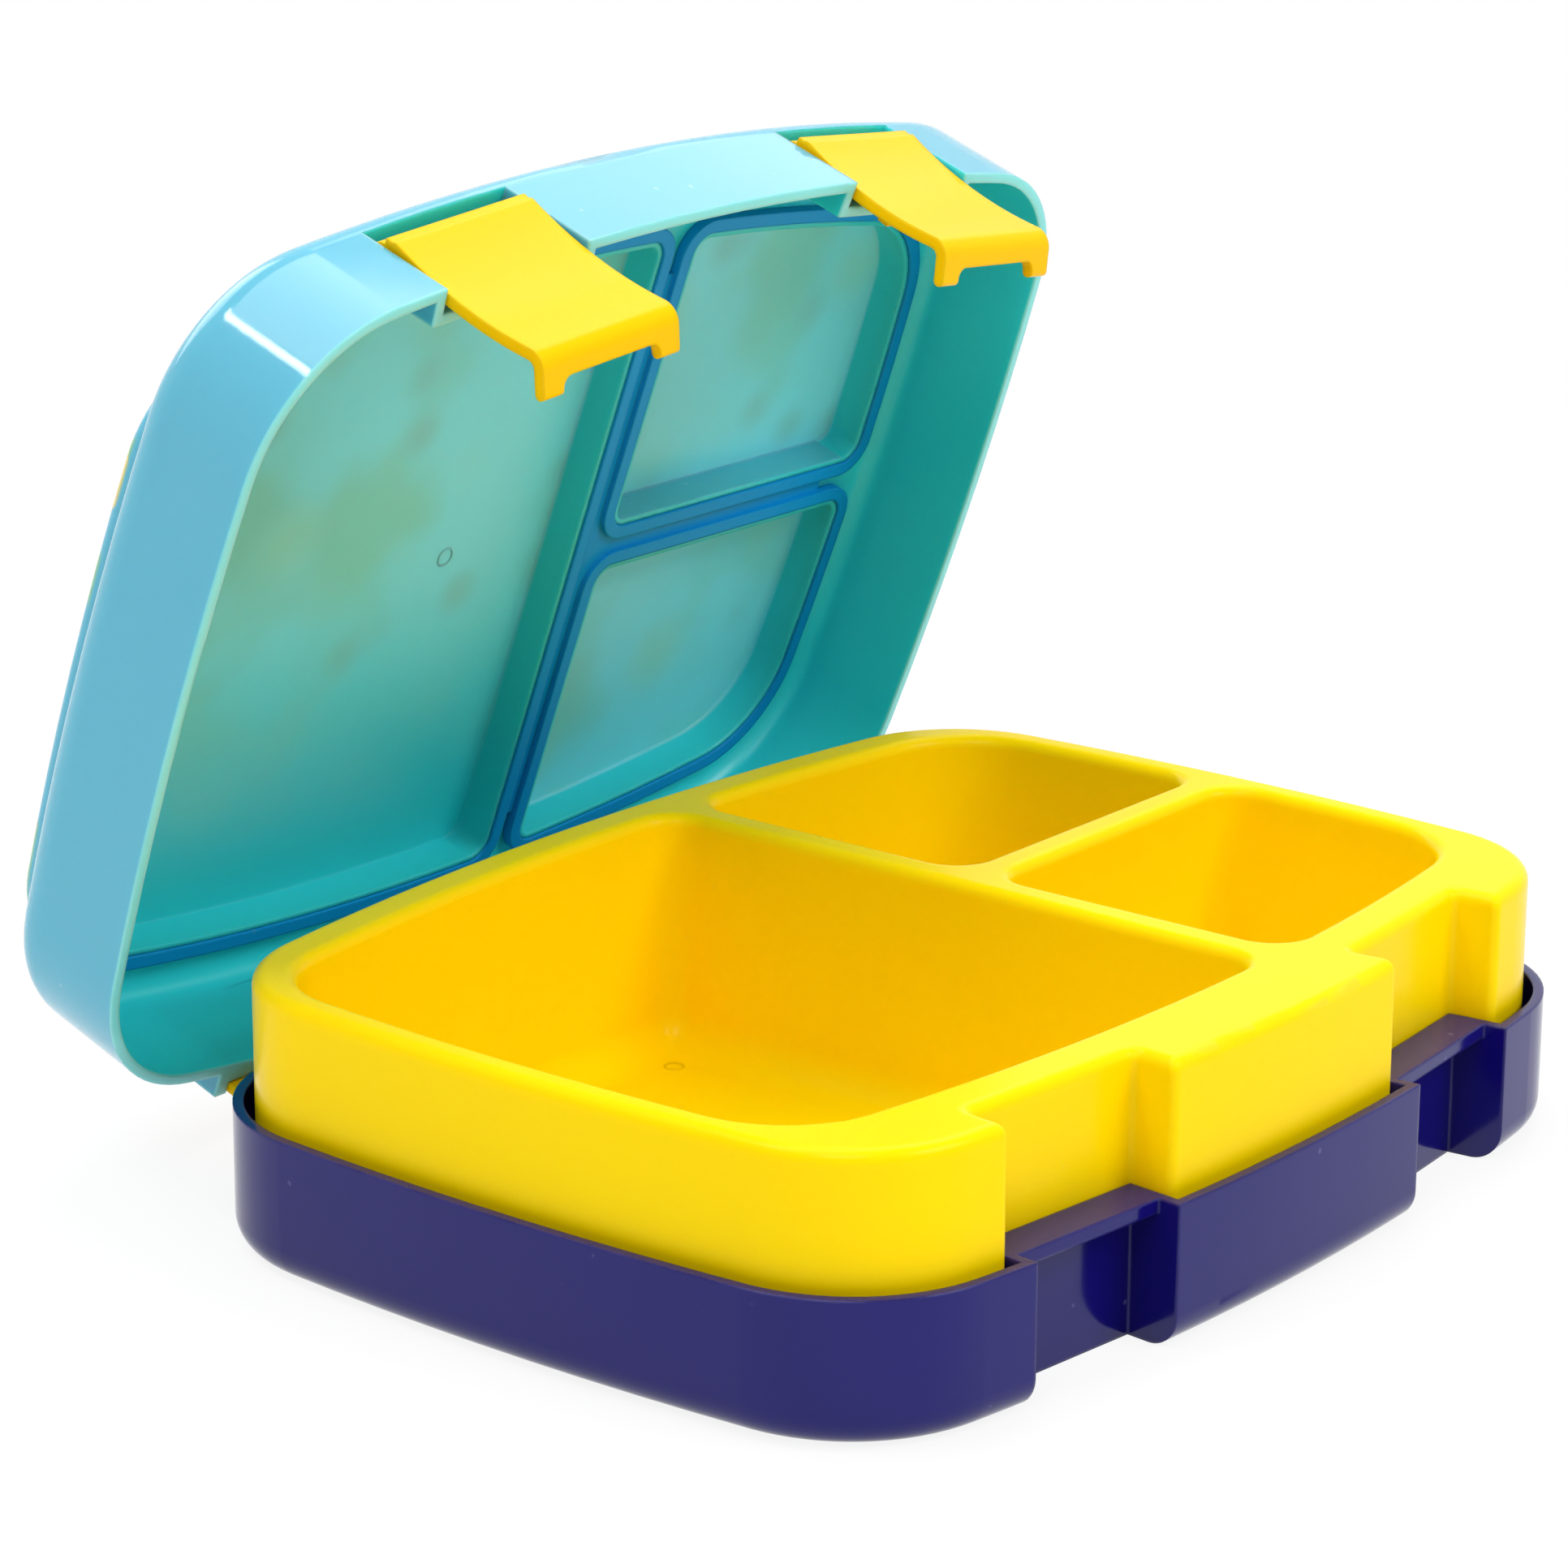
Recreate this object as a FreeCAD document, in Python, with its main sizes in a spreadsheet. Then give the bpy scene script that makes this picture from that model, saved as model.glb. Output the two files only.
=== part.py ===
import FreeCAD, Part
import math
import os
import Sketcher

# A child's lunch box: a shallow base, a lift-out tray with three compartments, and a lid that is
# hinged on two links at the back and held by two latches at the front. X runs along the hinge,
# the latches are on the -Y side, Z is up, and the origin is the middle of the base's underside.
# Every piece is drawn in the closed box; the lid's pieces are then turned open about the hinge.

DIMENSIONS = {
    # plan of the whole box
    "box_width": 210.0,
    "box_depth": 159.6,
    "front_bow": 515.0,
    "side_bow": 562.0,
    "corner_radius": 29.6,
    # moulded shells
    "wall": 1.8,
    "base_height": 24.3,
    "floor_thickness": 2.0,
    "base_edge": 5.6,
    "rim_gap": 0.4,
    "lid_height": 25.5,
    "lid_edge": 6.5,
    "lid_hollow_edge": 3.6,
    "window_depth": 7.0,
    "plateau_wall": 2.2,
    "plateau_edge": 2.5,
    # tray
    "tray_gap": 1.8,
    "tray_wall": 1.7,
    "tray_rise": 21.9,
    "cell_rim": 2.2,
    "skirt_drop": 5.3,
    "seat_gap": 0.3,
    "cell_front": 21.5,
    "cell_back": 12.0,
    "cell_side": 9.5,
    "cell_corner": 19.0,
    "inner_corner": 7.0,
    "window_corner": 3.0,
    "cell_draft": 3.2,
    "cell_fillet": 6.5,
    "divider_across": 21.5,
    "divider_along": 4.5,
    "divider_width": 6.8,
    # ribs and seal inside the lid
    "rib_height": 1.4,
    "rib_width": 1.0,
    "band_width": 8.0,
    "seal_gap": 0.4,
    "seal_lip": 2.6,
    "seal_web": 0.8,
    "seal_fit": 0.1,
    # latches and the recesses that take them
    "clasp_width": 32.6,
    "clasp_spread": 51.0,
    "clasp_gap": 0.6,
    "recess_depth": 10.0,
    "catch_set": 4.4,
    "catch_height": 2.4,
    "pocket_depth": 5.0,
    "pocket_height": 19.3,
    "notch_depth": 12.3,
    "notch_edge": 1.4,
    "notch_gap": 0.7,
    "latch_plate": 2.0,
    "latch_bow": 80.0,
    "latch_inner": 0.4,
    "latch_bend": 2.6,
    "lip_length": 3.8,
    "lip_foot": 4.5,
    "lip_arch": 3.0,
    "latch_set": 2.4,
    "latch_rise": 15.2,
    "latch_barrel": 2.2,
    "latch_pin": 1.2,
    "hook_tip": 3.1,
    "hook_height": 2.2,
    "hook_gap": 0.9,
    # hinge links
    "hinge_set": 2.6,
    "hinge_rise": 7.2,
    "link_plate": 2.0,
    "link_barrel": 2.4,
    "link_pin": 1.4,
    "link_eye": 1.5,
    "link_eye_pin": 0.9,
    "eye_rise": 15.8,
    "link_stop": 2.0,
    "cheek": 2.6,
    "pin_reach": 1.4,
    "run_gap": 0.3,
    "pin_gap": 0.05,
    "house_foot": 1.5,
    # how far cutting forms run past what they cut
    "cut_over": 1.0,
}

ANGLES = {
    "latch_lean": 8.0,
    "latch_flare": 14.0,
    "lip_turn": 78.0,
    "latch_tuck": 8.0,
    "lid_open": 69.75,
}

doc = FreeCAD.newDocument("lunch_box")
sheet = doc.addObject("Spreadsheet::Sheet", "Sizes")
for row, (alias, amount) in enumerate({**DIMENSIONS, **ANGLES}.items(), start=1):
    sheet.set("A%d" % row, alias)
    sheet.set("B%d" % row, str(amount))
    sheet.setAlias("B%d" % row, alias)
doc.recompute()


def total(*names):
    """The sum of named sizes, less those with a minus sign, as a number and as an expression."""
    number = 0.0
    words = []
    for name in names:
        sign = -1 if name.startswith("-") else 1
        alias = name.lstrip("-")
        number += sign * sheet.get(alias)
        words.append(("- " if sign < 0 else "+ ") + "Sizes." + alias)
    return number, "0 " + " ".join(words)


def size(*names):
    return total(*names)[0]


def vector(x=0.0, y=0.0, z=0.0):
    return FreeCAD.Vector(x, y, z)


X_AXIS = vector(1, 0, 0)
Z_AXIS = vector(0, 0, 1)
CUT_OVER = size("cut_over")

# Levels and places in the closed box
RIM = size("base_height", "rim_gap")
SHOULDER = RIM + size("lid_height")
CEILING = SHOULDER - size("wall")
RIB_BOTTOM = CEILING - size("rib_height")
PANEL = RIB_BOTTOM + size("window_depth")
LID_TOP = PANEL + size("wall")
HALF_WIDTH = size("box_width") / 2
HALF_DEPTH = size("box_depth") / 2
BOW_CENTRE = vector(0, size("front_bow") - HALF_DEPTH)
CLASP_TURN = math.degrees(math.asin(size("clasp_spread") / size("front_bow")))
TRAY_BOTTOM = size("floor_thickness", "seat_gap")
TRAY_TOP = size("base_height", "tray_rise")
SKIRT_BOTTOM = size("base_height", "-skirt_drop")
SEAL_BOTTOM = TRAY_TOP + size("seal_gap")
HINGE = vector(0, HALF_DEPTH - size("hinge_set"), size("hinge_rise"))
LINK_FACE = HINGE.y + size("link_barrel")
SEAT = LINK_FACE - size("link_plate", "run_gap")
EYE = vector(0, LINK_FACE - size("link_eye"), RIM + size("eye_rise"))
SIDES = {"left": -1, "right": 1}


def add(kind, name, **properties):
    item = doc.addObject(kind, name)
    for key, setting in properties.items():
        setattr(item, key, setting)
    return item


# Plan outlines. A cell has four sides, in the order front, right, back and left. Each is parallel to
# the box's bowed outline at some inset, or straight at some place, and a round corner follows each.

NORMALS = (vector(0, -1), vector(1, 0), vector(0, 1), vector(-1, 0))


class Side:
    def __init__(self, index, kind, measure):
        self.normal = NORMALS[index]
        self.kind = kind
        self.measure, self.expression = measure
        self.across = index % 2 == 1
        bow = "side_bow" if self.across else "front_bow"
        span = "box_width" if self.across else "box_depth"
        self.bow = "Sizes." + bow
        self.offset = size(bow) - size(span) / 2
        self.offset_expression = "Sizes.%s - Sizes.%s / 2" % (bow, span)
        self.centre = self.normal * -self.offset
        self.radius = size(bow) - self.measure

    def inside(self, point):
        """Distance of a point from the side, inwards, and its gradient."""
        if self.kind == "line":
            reach = point.x if self.across else point.y
            sign = self.normal.x + self.normal.y
            return sign * (self.measure - reach), self.normal * -1
        arm = point - self.centre
        return self.radius - arm.Length, arm * (-1 / arm.Length)

    def foot(self, point, distance):
        """The point of the side nearest to one that lies inside it."""
        if self.kind == "line":
            return point + self.normal * distance
        arm = point - self.centre
        return self.centre + arm * (self.radius / arm.Length)


def corner_centre(first, second, radius):
    point = (first.normal + second.normal) * (HALF_DEPTH / 2)
    for _ in range(20):
        gap_a, slope_a = first.inside(point)
        gap_b, slope_b = second.inside(point)
        error_a = radius - gap_a
        error_b = radius - gap_b
        scale = slope_a.x * slope_b.y - slope_a.y * slope_b.x
        step_x = (error_a * slope_b.y - error_b * slope_a.y) / scale
        step_y = (error_b * slope_a.x - error_a * slope_b.x) / scale
        point = point + vector(step_x, step_y)
    return point


def arc(centre, start, end):
    radius = (start - centre).Length
    low = math.atan2(start.y - centre.y, start.x - centre.x)
    high = math.atan2(end.y - centre.y, end.x - centre.x)
    if high < low:
        high += 2 * math.pi
    return Part.ArcOfCircle(Part.Circle(centre, Z_AXIS, radius), low, high)


def pin_size(sketch, constraint, expression):
    index = sketch.addConstraint(constraint)
    sketch.setExpression("Constraints[%d]" % index, expression)


def hold_side(sketch, index, side):
    """Ties a side's edge to the sheet."""
    edge = 2 * index
    if side.kind == "line":
        sketch.addConstraint(Sketcher.Constraint("Vertical" if side.across else "Horizontal", edge))
        kind = "DistanceX" if side.across else "DistanceY"
        ends = (-1, 1, edge, 1) if side.measure > 0 else (edge, 1, -1, 1)
        words = side.expression if side.measure > 0 else "-(%s)" % side.expression
        pin_size(sketch, Sketcher.Constraint(kind, *ends, abs(side.measure)), words)
        return
    sketch.addConstraint(Sketcher.Constraint("PointOnObject", edge, 3, -1 if side.across else -2))
    kind = "DistanceX" if side.across else "DistanceY"
    ahead = side.centre.x + side.centre.y > 0
    ends = (-1, 1, edge, 3) if ahead else (edge, 3, -1, 1)
    pin_size(sketch, Sketcher.Constraint(kind, *ends, side.offset), side.offset_expression)
    words = "%s - (%s)" % (side.bow, side.expression)
    pin_size(sketch, Sketcher.Constraint("Radius", edge, side.radius), words)


def cell(name, sides, corners, level):
    """A closed plan outline as a sketch at a level."""
    sides = [Side(index, *side) for index, side in enumerate(sides)]
    centres = [corner_centre(sides[i], sides[(i + 1) % 4], corners[i][0]) for i in range(4)]
    sketch = doc.addObject("Sketcher::SketchObject", name)
    for i, side in enumerate(sides):
        start = side.foot(centres[i - 1], corners[i - 1][0])
        end = side.foot(centres[i], corners[i][0])
        bend = sides[(i + 1) % 4].foot(centres[i], corners[i][0])
        edge = Part.LineSegment(start, end) if side.kind == "line" else arc(side.centre, start, end)
        sketch.addGeometry(edge)
        sketch.addGeometry(arc(centres[i], end, bend))
    for i in range(8):
        sketch.addConstraint(Sketcher.Constraint("Tangent", i, 2, (i + 1) % 8, 1))
    for i, side in enumerate(sides):
        hold_side(sketch, i, side)
        radius, words = corners[i]
        pin_size(sketch, Sketcher.Constraint("Radius", 2 * i + 1, radius), words)
    sketch.Placement.Base = vector(0, 0, level)
    sketch.recompute()
    return sketch


def ring(name, inset, level):
    """The box's own outline, moved in by a sum of named sizes."""
    sides = [("bow", total(*inset))] * 4
    corner = total("corner_radius", *["-" + part for part in inset])
    return cell(name, sides, [corner] * 4, level)


# The three compartments share their outlines with the windows of the lid above them. Sizes that
# widen an outline are named in grow, and those that narrow it in shrink.

def compartment(name, which, level, half_gap, grow=(), shrink=(), inner="inner_corner"):
    smaller = list(shrink) + ["-" + part for part in grow]
    larger = list(grow) + ["-" + part for part in shrink]
    front = ("bow", total("cell_front", *smaller))
    back = ("bow", total("cell_back", *smaller))
    side = ("bow", total("cell_side", *smaller))
    across, words_across = total("divider_across")
    along, words_along = total("divider_along")
    gap, words_gap = half_gap
    outset, words_outset = total(*larger) if larger else (0.0, "0")
    low = gap - outset
    words_low = "(%s) - (%s)" % (words_gap, words_outset)
    round_out = total("cell_corner", *larger)
    round_in = total(inner, *larger)
    west = ("line", (across - low, "%s - (%s)" % (words_across, words_low)))
    east = ("line", (across + low, "%s + %s" % (words_across, words_low)))
    south = ("line", (along - low, "%s - (%s)" % (words_along, words_low)))
    north = ("line", (along + low, "%s + %s" % (words_along, words_low)))
    sides, corners = {
        "main": ((front, west, back, side), (round_in, round_in, round_out, round_out)),
        "front": ((front, side, south, east), (round_out, round_in, round_in, round_in)),
        "back": ((north, side, back, east), (round_in, round_out, round_in, round_in)),
    }[which]
    return cell(name, sides, corners, level)


CELLS = ("main", "front", "back")
TRAY_HALF = (size("divider_width") / 2, "Sizes.divider_width / 2")
LID_HALF = (
    size("band_width") / 2 + size("rib_width", "seal_fit"),
    "Sizes.band_width / 2 + Sizes.rib_width + Sizes.seal_fit",
)


def pull(name, sketch, height, expression=None):
    item = add("Part::Extrusion", name, Base=sketch, DirMode="Custom", Dir=Z_AXIS, Solid=True)
    item.LengthFwd = height
    if expression:
        item.setExpression("LengthFwd", expression)
    item.recompute()
    return item


def loft(name, *sketches):
    item = add("Part::Loft", name, Sections=list(sketches), Solid=True, Ruled=True)
    item.recompute()
    return item


def fuse(name, *items):
    item = add("Part::MultiFuse", name, Shapes=list(items))
    item.recompute()
    return item


def cut(name, body, *tools):
    tool = tools[0] if len(tools) == 1 else fuse(name + "_tools", *tools)
    item = add("Part::Cut", name, Base=body, Tool=tool)
    item.recompute()
    return item


def common(name, *items):
    item = add("Part::MultiCommon", name, Shapes=list(items))
    item.recompute()
    return item


def rounded(name, body, radius, wanted):
    """Rounds the edges that a test picks."""
    picked = [i for i, edge in enumerate(body.Shape.Edges, start=1) if wanted(edge)]
    item = add("Part::Fillet", name, Base=body)
    item.Edges = [(i, radius, radius) for i in picked]
    item.recompute()
    return item


def at_level(level):
    def wanted(edge):
        box = edge.BoundBox
        return abs(box.ZMin - level) < 1e-4 and abs(box.ZMax - level) < 1e-4
    return wanted


def box(name, length, width, height, corner):
    item = doc.addObject("Part::Box", name)
    for key, (number, words) in zip(("Length", "Width", "Height"), (length, width, height)):
        setattr(item, key, number)
        item.setExpression(key, words)
    item.Placement.Base = corner
    item.recompute()
    return item


def rod(name, radius, length, middle):
    """A round bar along X, centred on a point."""
    item = doc.addObject("Part::Cylinder", name)
    item.setExpression("Radius", radius[1])
    item.setExpression("Height", length[1])
    start = middle - X_AXIS * (length[0] / 2)
    item.Placement = FreeCAD.Placement(start, FreeCAD.Rotation(vector(0, 1, 0), 90))
    item.recompute()
    return item


def to_clasp(placement, sign):
    """Carries a place at the middle of the front round the bow to a latch."""
    turn = FreeCAD.Placement(vector(), FreeCAD.Rotation(Z_AXIS, sign * CLASP_TURN), BOW_CENTRE)
    return turn.multiply(placement)


def front_box(name, sign, width, near, far, low, high):
    """A box in the front wall at a latch, between two depths from the outside and two levels."""
    deep = (far - near, "%f" % (far - near))
    tall = (high - low, "%f" % (high - low))
    item = box(name, width, deep, tall, vector(-width[0] / 2, near - HALF_DEPTH, low))
    item.Placement = to_clasp(item.Placement, sign)
    item.recompute()
    return item


def back_box(name, sign, width, near, far, low, high):
    """A box in the back wall at a hinge link, between two places in Y and two levels."""
    deep = (far - near, "%f" % (far - near))
    tall = (high - low, "%f" % (high - low))
    middle = sign * size("clasp_spread")
    return box(name, width, deep, tall, vector(middle - width[0] / 2, near, low))


def both(make, name, *arguments):
    return [make("%s_%s" % (side, name), sign, *arguments) for side, sign in SIDES.items()]


def both_rods(name, radius, length, middle):
    spread = X_AXIS * size("clasp_spread")
    return [
        rod("%s_%s" % (side, name), radius, length, middle + spread * sign)
        for side, sign in SIDES.items()
    ]


GAP_WIDTH = total("clasp_width")
WALLED_WIDTH = total("clasp_width", "wall", "wall")
CHEEKED_WIDTH = total("clasp_width", "cheek", "cheek")
FAR_OUT = LINK_FACE + 10 * CUT_OVER

# Base shell

base_block = pull("base_block", ring("base_plan", [], 0), *total("base_height"))
base_form = rounded("base_form", base_block, size("base_edge"), at_level(0))
base_house = both(back_box, "base_house", CHEEKED_WIDTH, SEAT - size("base_edge"), LINK_FACE,
                  size("house_foot"), size("base_height"))
base_solid = fuse("base_solid", base_form, *base_house)
base_hole = pull("base_hole", ring("base_hole_plan", ["wall"], size("floor_thickness")), *total("base_height"))
base_hollow = rounded("base_hollow", base_hole, size("base_edge", "-wall"), at_level(size("floor_thickness")))
base_open = cut("base_open", base_solid, base_hollow)
recess_wall = both(front_box, "recess_wall", WALLED_WIDTH, 0, size("recess_depth", "wall"),
                   0, size("base_height"))
recess_form = [common(item.Name + "_form", item, base_form) for item in recess_wall]
seat_wall = both(back_box, "seat_wall", CHEEKED_WIDTH, SEAT - size("wall"), SEAT + size("run_gap"),
                 size("floor_thickness"), size("base_height"))
knuckle_reach = size("link_barrel", "run_gap", "wall")
knuckle_wall = both(back_box, "knuckle_wall", CHEEKED_WIDTH, HINGE.y - knuckle_reach, SEAT,
                    size("house_foot"), HINGE.z + knuckle_reach)
base_full = fuse("base_full", base_open, *recess_form, *seat_wall, *knuckle_wall)
catch_bottom = size("base_height", "-catch_height")
base_cuts = (
    both(front_box, "recess", GAP_WIDTH, -FAR_OUT / 10, size("recess_depth"), -CUT_OVER, catch_bottom)
    + both(front_box, "catch_face", GAP_WIDTH, -FAR_OUT / 10, size("catch_set"),
           catch_bottom - CUT_OVER, size("base_height") + CUT_OVER)
    + both(back_box, "link_seat", GAP_WIDTH, SEAT, FAR_OUT, HINGE.z - size("link_stop"),
           size("base_height") + CUT_OVER)
    + both_rods("knuckle", total("link_barrel", "run_gap"), GAP_WIDTH, HINGE)
    + both_rods("knuckle_hole", total("link_pin", "pin_gap"),
                total("clasp_width", "pin_reach", "pin_reach", "run_gap"), HINGE)
)
base_moulding = cut("base_moulding", base_full, *base_cuts)

# Food tray: a skirted top with three drafted bowls let into it

NOTCH_WIDTH = total("clasp_width", "wall", "wall", "notch_gap", "notch_gap")
NOTCH_WALLED = total("clasp_width", "wall", "wall", "notch_gap", "notch_gap", "tray_wall", "tray_wall")
TRAY_INSET = ["wall", "tray_gap"]
tray_block = pull("tray_block", ring("tray_plan", TRAY_INSET, SKIRT_BOTTOM), *total("tray_rise", "skirt_drop"))
notches = both(front_box, "notch", NOTCH_WIDTH, -CUT_OVER, size("notch_depth"),
               SKIRT_BOTTOM - CUT_OVER, TRAY_TOP + CUT_OVER)
tray_cut = cut("tray_cut", tray_block, *notches)


def notch_corner(edge):
    """The upright edges of the notches, outer and inner."""
    middle = edge.CenterOfMass
    upright = edge.BoundBox.ZLength > size("tray_rise") and len(edge.Vertexes) == 2
    within = abs(abs(middle.x) - size("clasp_spread")) < size("clasp_width")
    return upright and within and middle.y < -HALF_DEPTH / 2


tray_notched = rounded("tray_notched", tray_cut, size("notch_edge"), notch_corner)
tray_hole = pull(
    "tray_hole",
    ring("tray_hole_plan", TRAY_INSET + ["tray_wall"], SKIRT_BOTTOM - CUT_OVER),
    *total("tray_rise", "skirt_drop", "cut_over", "-tray_wall"),
)
notch_walls = both(front_box, "notch_wall", NOTCH_WALLED, 0, size("notch_depth", "tray_wall"),
                   SKIRT_BOTTOM - 2 * CUT_OVER, TRAY_TOP)
tray_hollow = cut("tray_hollow", tray_hole, *notch_walls)
tray_skirt = cut("tray_skirt", tray_notched, tray_hollow)


def bowl(name, which, bottom, top, edge, grow):
    """A compartment's drafted form from its floor to its rim."""
    floor = compartment(name + "_floor", which, bottom, TRAY_HALF, grow, ["cell_draft"])
    rim = compartment(name + "_rim", which, top, TRAY_HALF, grow)
    form = loft(name + "_form", floor, rim)
    return rounded(name, form, size(*edge), at_level(bottom))


bowls = [
    bowl(which + "_bowl", which, TRAY_BOTTOM, TRAY_TOP - size("tray_wall") / 2,
         ["cell_fillet", "tray_wall"], ["tray_wall"])
    for which in CELLS
]
hollows = [
    bowl(which + "_hollow", which, TRAY_BOTTOM + size("tray_wall"), TRAY_TOP + CUT_OVER, ["cell_fillet"], [])
    for which in CELLS
]
tray_full = fuse("tray_full", tray_skirt, *bowls)
tray_sharp = cut("tray_sharp", tray_full, *hollows)
tray_moulding = rounded("tray_moulding", tray_sharp, size("cell_rim"), at_level(TRAY_TOP))

# Lid shell: a shouldered shell with a raised top, three windows and the pockets of latches and links

lid_block = pull("lid_block", ring("lid_plan", [], RIM), *total("lid_height"))
lid_form = rounded("lid_form", lid_block, size("lid_edge"), at_level(SHOULDER))


def plateau_plan(name, level):
    sides = [("bow", total(part, "-plateau_wall")) for part in
             ("cell_front", "cell_side", "cell_back", "cell_side")]
    return cell(name, sides, [total("cell_corner", "plateau_wall")] * 4, level)


plateau_foot = SHOULDER - size("wall") / 2
plateau_block = pull("plateau_block", plateau_plan("plateau_plan", plateau_foot), LID_TOP - plateau_foot)
plateau = rounded("plateau", plateau_block, size("plateau_edge"), at_level(LID_TOP))
eye_reach = size("link_eye", "run_gap")
lid_house = both(back_box, "lid_house", CHEEKED_WIDTH, SEAT - size("lid_edge"), LINK_FACE,
                 RIM, EYE.z + eye_reach + size("wall"))
lid_solid = fuse("lid_solid", lid_form, plateau, *lid_house)
lid_hole = pull("lid_hole", ring("lid_hole_plan", ["wall"], RIM - CUT_OVER), CEILING - RIM + CUT_OVER)
lid_hollow = rounded("lid_hollow", lid_hole, size("lid_hollow_edge"), at_level(CEILING))
lid_open_form = cut("lid_open_form", lid_solid, lid_hollow)
pocket_top = RIM + size("pocket_height")
pocket_wall = both(front_box, "pocket_wall", WALLED_WIDTH, 0, size("pocket_depth", "wall"),
                   RIM, pocket_top + size("wall"))
pocket_form = [common(item.Name + "_form", item, lid_form) for item in pocket_wall]
lid_seat = both(back_box, "lid_seat", CHEEKED_WIDTH, SEAT - size("wall"), SEAT + size("run_gap"),
                RIM, EYE.z + eye_reach + size("wall"))


def window_plan(name, which, level, *grow):
    return compartment(name, which, level, LID_HALF, grow, (), "window_corner")


ribs = [
    pull(which + "_rib", window_plan(which + "_rib_plan", which, RIB_BOTTOM, "rib_width"),
         *total("rib_height", "wall", "-rim_gap"))
    for which in CELLS
]
windows = [
    pull(which + "_window", window_plan(which + "_window_plan", which, RIB_BOTTOM - CUT_OVER),
         PANEL - RIB_BOTTOM + CUT_OVER)
    for which in CELLS
]
latch_axis = vector(0, size("latch_set") - HALF_DEPTH, RIM + size("latch_rise"))


def latch_rods(name, radius, length):
    rods = []
    for side, sign in SIDES.items():
        item = rod("%s_%s" % (side, name), radius, length, latch_axis)
        item.Placement = to_clasp(item.Placement, sign)
        item.recompute()
        rods.append(item)
    return rods


lid_full = fuse("lid_full", lid_open_form, *pocket_form, *lid_seat, *ribs)
lid_cuts = (
    both(front_box, "pocket", GAP_WIDTH, -FAR_OUT / 10, size("pocket_depth"), RIM - CUT_OVER, pocket_top)
    + both(back_box, "eye_seat", GAP_WIDTH, SEAT, FAR_OUT, RIM - CUT_OVER, EYE.z + eye_reach)
    + both_rods("eye_room", total("link_eye", "run_gap"), GAP_WIDTH, EYE)
    + both_rods("eye_hole", total("link_eye_pin", "pin_gap"),
                total("clasp_width", "pin_reach", "pin_reach", "run_gap"), EYE)
    + latch_rods("latch_hole", total("latch_pin", "pin_gap"),
                 total("clasp_width", "pin_reach", "pin_reach", "run_gap"))
    + windows
)
lid_moulding = cut("lid_moulding", lid_full, *lid_cuts)

# Seal gasket: a lip round each rib, joined by thin webs along the dividers

seal_top = CEILING
seal_height = seal_top - SEAL_BOTTOM
lips = []
for which in CELLS:
    outer = window_plan(which + "_lip_plan", which, SEAL_BOTTOM, "rib_width", "seal_fit", "seal_lip")
    inner = window_plan(which + "_lip_hole_plan", which, SEAL_BOTTOM - CUT_OVER, "rib_width", "seal_fit")
    lip = pull(which + "_lip_block", outer, seal_height)
    hole = pull(which + "_lip_hole", inner, seal_height + 2 * CUT_OVER)
    lips.append(cut(which + "_lip", lip, hole))
half_band = size("band_width") / 2
web_front = size("cell_front") - HALF_DEPTH + size("inner_corner")
web_back = HALF_DEPTH - size("cell_back") - size("inner_corner")
web_right = HALF_WIDTH - size("cell_side") - size("inner_corner")
web_level = seal_top - size("seal_web")
across_web = box(
    "across_web", total("band_width"), (web_back - web_front, "%f" % (web_back - web_front)),
    total("seal_web"), vector(size("divider_across") - half_band, web_front, web_level),
)
along_length = web_right - size("divider_across")
along_web = box(
    "along_web", (along_length, "%f" % along_length), total("band_width"),
    total("seal_web"), vector(size("divider_across"), size("divider_along") - half_band, web_level),
)
seal_moulding = fuse("seal_moulding", *lips, across_web, along_web)

# Latch: a bowed plate that curls in to a two-footed lip, with a hook inside and a barrel behind its top

def latch_profile():
    """The plate's middle line in the Y-Z plane of the front's middle, from its top to its lip."""
    bow = size("latch_bow")
    lean = math.radians(size("latch_lean"))
    flare = math.radians(size("latch_flare"))
    top = latch_axis.z - size("latch_plate")
    middle = top - bow * math.sin(lean)
    centre = vector(0, size("latch_inner") - HALF_DEPTH - bow, middle)

    def on_bow(angle):
        return centre + vector(0, bow * math.cos(angle), bow * math.sin(angle))

    bend = size("latch_bend")
    turn = math.radians(size("lip_turn"))
    end = on_bow(-flare)
    inward = vector(0, math.cos(flare), -math.sin(flare))
    hub = end + inward * bend

    def on_bend(angle):
        spread = flare - angle
        return hub - vector(0, math.cos(spread), -math.sin(spread)) * bend

    last = on_bend(turn)
    spread = flare - turn
    along = vector(0, -math.sin(spread), -math.cos(spread))
    tip = last + along * size("lip_length")
    upper = Part.Arc(on_bow(lean), on_bow((lean - flare) / 2), end).toShape()
    curl = Part.Arc(end, on_bend(turn / 2), last).toShape()
    lip = Part.LineSegment(last, tip).toShape()
    return Part.Wire([upper, curl, lip]), last, tip


middle_line, lip_root, lip_tip = latch_profile()
LATCH_WIDTH = total("clasp_width", "-clasp_gap", "-clasp_gap")
latch_line = add("Part::Feature", "latch_line", Shape=middle_line)
latch_face = add("Part::Offset2D", "latch_face", Source=latch_line, Mode="Pipe", Fill=True)
latch_face.setExpression("Value", "Sizes.latch_plate / 2")
latch_face.recompute()
latch_plate = add("Part::Extrusion", "latch_plate", Base=latch_face, DirMode="Custom", Dir=X_AXIS,
                  Solid=True, Symmetric=True)
latch_plate.setExpression("LengthFwd", LATCH_WIDTH[1])
latch_plate.recompute()
latch_barrel = rod("latch_barrel", total("latch_barrel"), LATCH_WIDTH, latch_axis)
pin_length = total("clasp_width", "pin_reach", "pin_reach")
latch_pin = rod("latch_pin", total("latch_pin"), pin_length, latch_axis)
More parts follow.
